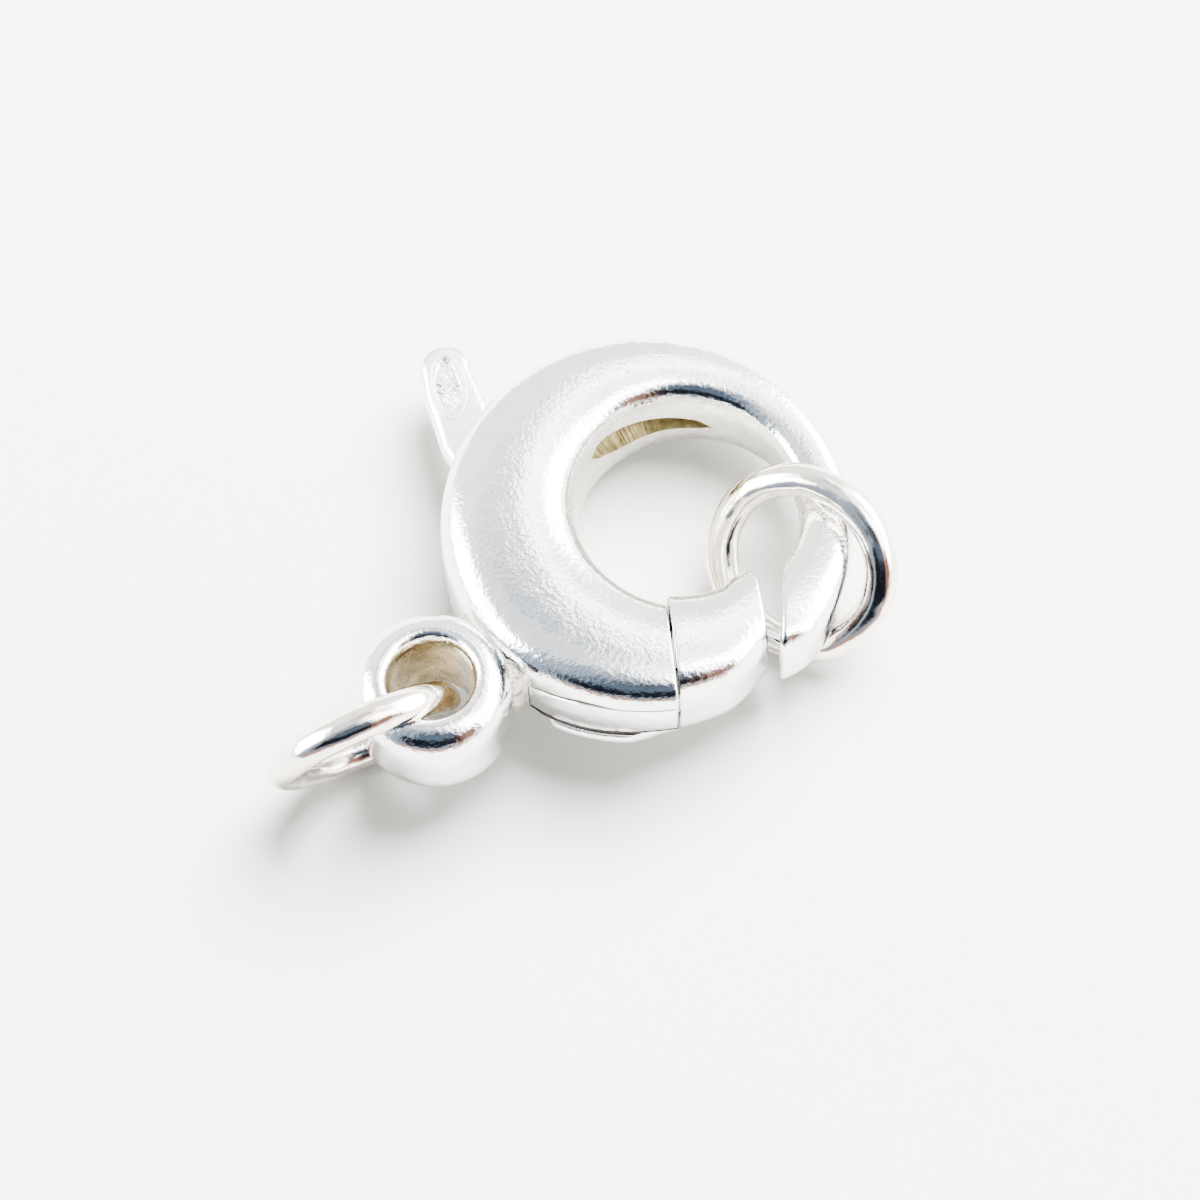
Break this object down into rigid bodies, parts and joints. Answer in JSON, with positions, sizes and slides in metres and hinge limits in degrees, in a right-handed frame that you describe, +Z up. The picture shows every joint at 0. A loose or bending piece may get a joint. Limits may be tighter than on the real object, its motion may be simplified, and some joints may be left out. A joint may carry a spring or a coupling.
{
  "type": "lobster clasp",
  "caption": "Round trigger clasp in polished silver: a crescent hook ring with a slotted wall, a sprung lever with gate and trigger fin, a round tail bail, and a wire jump ring at each end.",
  "frame": {"origin": "centre of the bounding box at the surface the clasp lies on", "axes": "+Y from the tail bail to the hook's far side, along the clasp; +Z up from the surface; the trigger fin points to -X and the gate lies on the +X side"},
  "size_m": [0.0128, 0.0164, 0.0051],
  "materials": {
    "cast_silver": "polished sterling silver casting with a faint orange-peel grain",
    "silver_wire": "bright polished sterling silver wire"
  },
  "bodies": {
    "clasp": {"clasp_body": "cast_silver", "pivot_pin": "silver_wire", "tail_jump_ring": "silver_wire", "hook_jump_ring": "silver_wire"},
    "lever": {"lever": "cast_silver"}
  },
  "joints": [
    {"name": "lever_pivot", "type": "hinge", "parent": "clasp", "child": "lever", "pos_m": [0.0019, -0.00109, 0.00251], "axis": [-0.0887, 0.0703, 0.9936], "range_deg": [0, 7], "stiffness_Nm_per_rad": 0.01, "springref_deg": -45.84}
  ]
}
